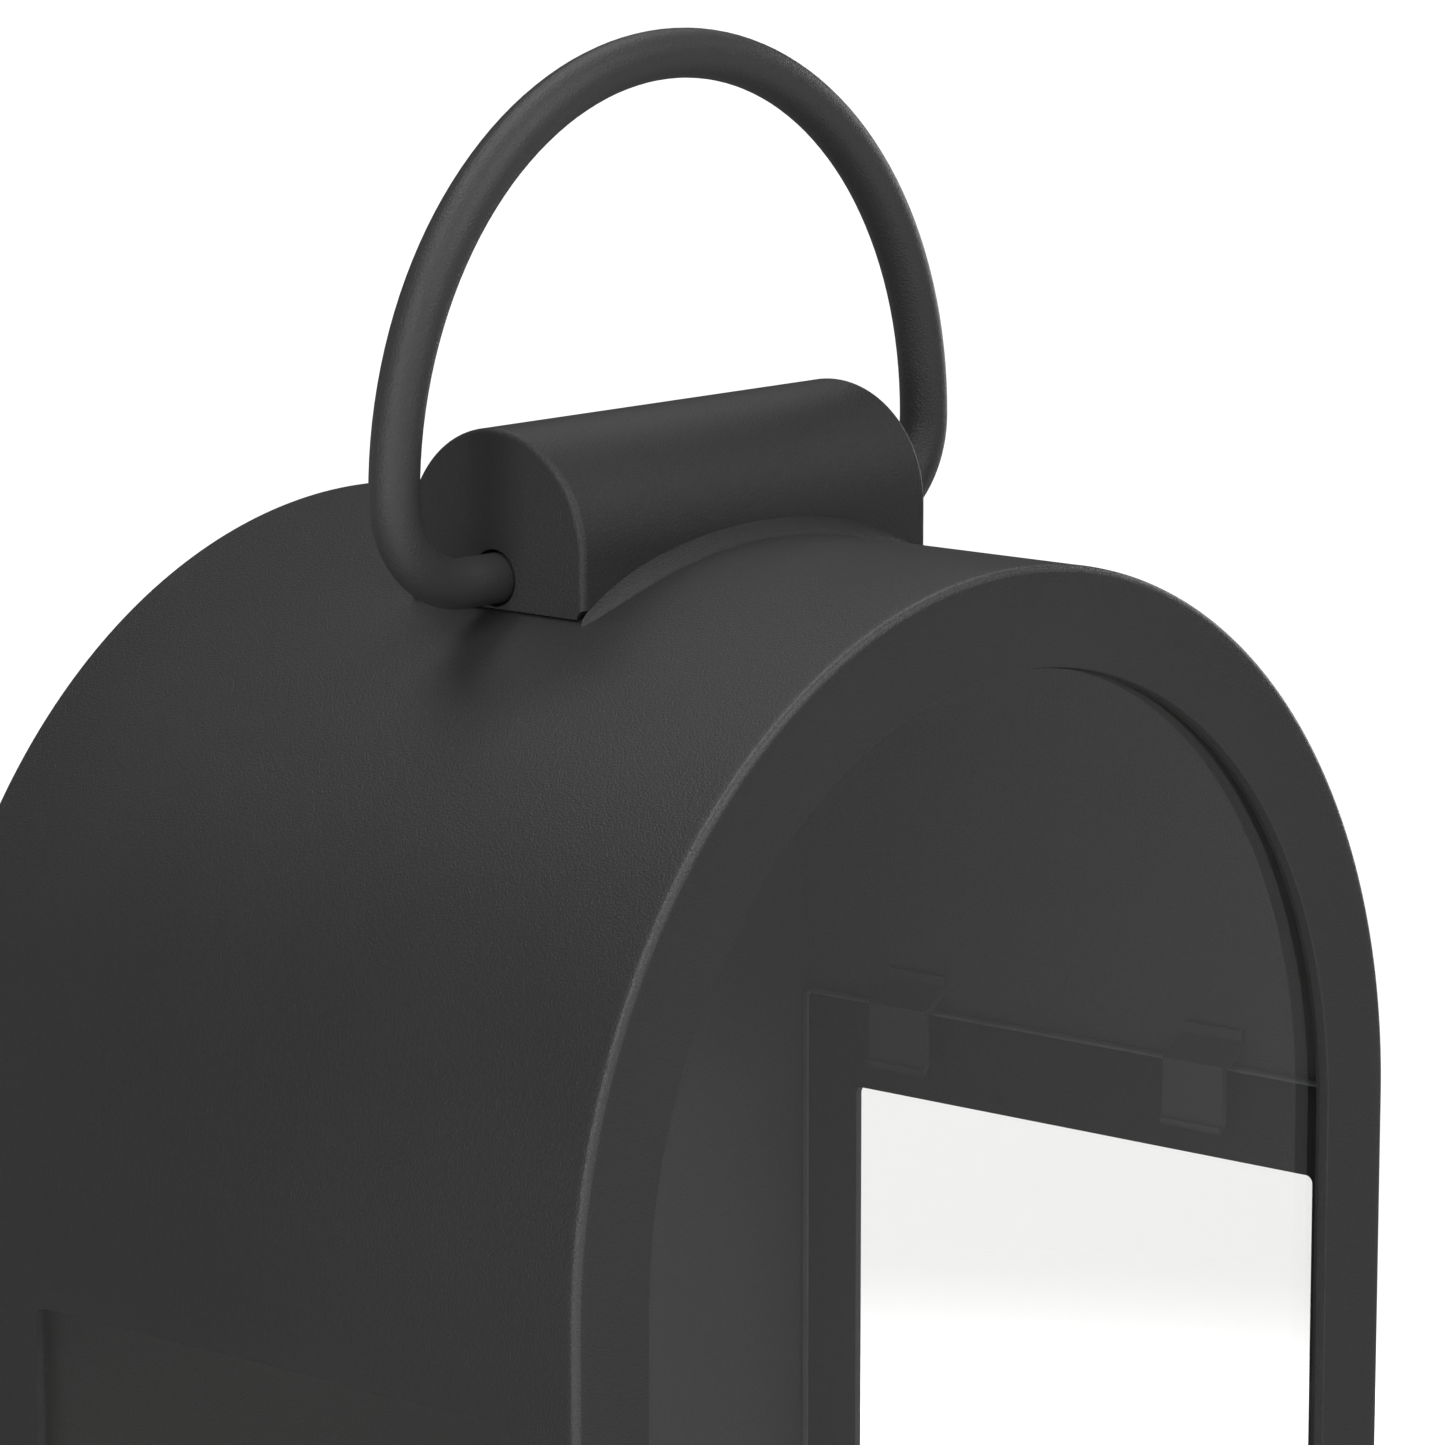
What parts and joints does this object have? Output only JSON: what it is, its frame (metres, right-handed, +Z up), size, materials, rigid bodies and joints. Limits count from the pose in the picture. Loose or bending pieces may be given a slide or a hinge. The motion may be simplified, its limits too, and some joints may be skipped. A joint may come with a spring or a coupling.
{
  "type": "solar lantern",
  "caption": "Solar lantern with a barrel-vault metal body, arched glass front, side windows, a swinging ring handle, a solar module in the rear recess and an LED candle inside.",
  "frame": {"origin": "centre of the footprint on the ground, under the rubber feet", "axes": "+Z up, +X to the right seen from the front, +Y from the front towards the rear"},
  "size_m": [0.22, 0.154, 0.4267],
  "materials": {
    "paint": "matte charcoal powder coat with a fine grain",
    "glass": "clear float glass",
    "zinc": "zinc-plated",
    "rubber": "matte",
    "black_plastic": "fine spark texture",
    "slider_plastic": "satin",
    "solar_cell": "dark blue crystalline silicon under glass",
    "tinned": "tinned",
    "black_wire": "satin",
    "red_wire": "satin",
    "white_wire": "satin",
    "cell_wrap": "shrink sleeve",
    "green_board": "solder mask",
    "board_parts": "moulded",
    "wax": "ivory wax effect",
    "flame": "frosted amber",
    "lamp_board": "white solder mask",
    "lamp": "clear epoxy"
  },
  "bodies": {
    "housing": {"body_shell": "paint", "front_frame": "paint", "front_glass": "glass", "front_tabs": "paint", "side_glass_left": "glass", "side_glass_right": "glass", "side_tabs_left": "paint", "side_tabs_right": "paint", "back_panel": "paint", "floor_plate": "paint", "bottom_plate": "paint", "base_brackets": "paint", "bottom_screws": "zinc", "rubber_feet": "rubber", "handle_mount": "paint", "mount_cap_left": "paint", "mount_cap_right": "paint", "mount_welds": "paint", "solar_gasket": "rubber", "solar_frame": "black_plastic", "solar_cells": "solar_cell", "solar_ribbons": "tinned", "solar_cover": "glass", "solar_clips": "paint", "solar_screws": "zinc", "lead_grommet": "rubber", "solar_lead": "black_wire", "switch_housing": "black_plastic", "switch_screws": "zinc", "battery_box": "black_plastic", "battery_cell": "cell_wrap", "battery_contacts": "tinned", "battery_cover": "black_plastic", "battery_gasket": "rubber", "battery_screw": "zinc", "circuit_board": "green_board", "board_parts": "board_parts", "board_standoffs": "zinc", "board_screws": "zinc", "battery_leads": "red_wire", "switch_leads": "black_wire", "lamp_leads": "white_wire", "candle_base": "black_plastic", "candle_screws": "zinc", "candle_body": "wax", "flame_holder": "wax", "flame_lens": "flame", "lamp_board": "lamp_board", "lamp_emitter": "lamp"},
    "handle": {"handle_ring": "paint"},
    "switch": {"switch_slider": "slider_plastic"}
  },
  "joints": [
    {"name": "handle_swing", "type": "hinge", "parent": "housing", "child": "handle", "pos_m": [0, 0, 0.3359], "axis": [1, 0, 0], "range_deg": [-85, 85]},
    {"name": "switch_slide", "type": "slide", "parent": "housing", "child": "switch", "axis": [1, 0, 0], "range_m": [0, 0.004]}
  ]
}
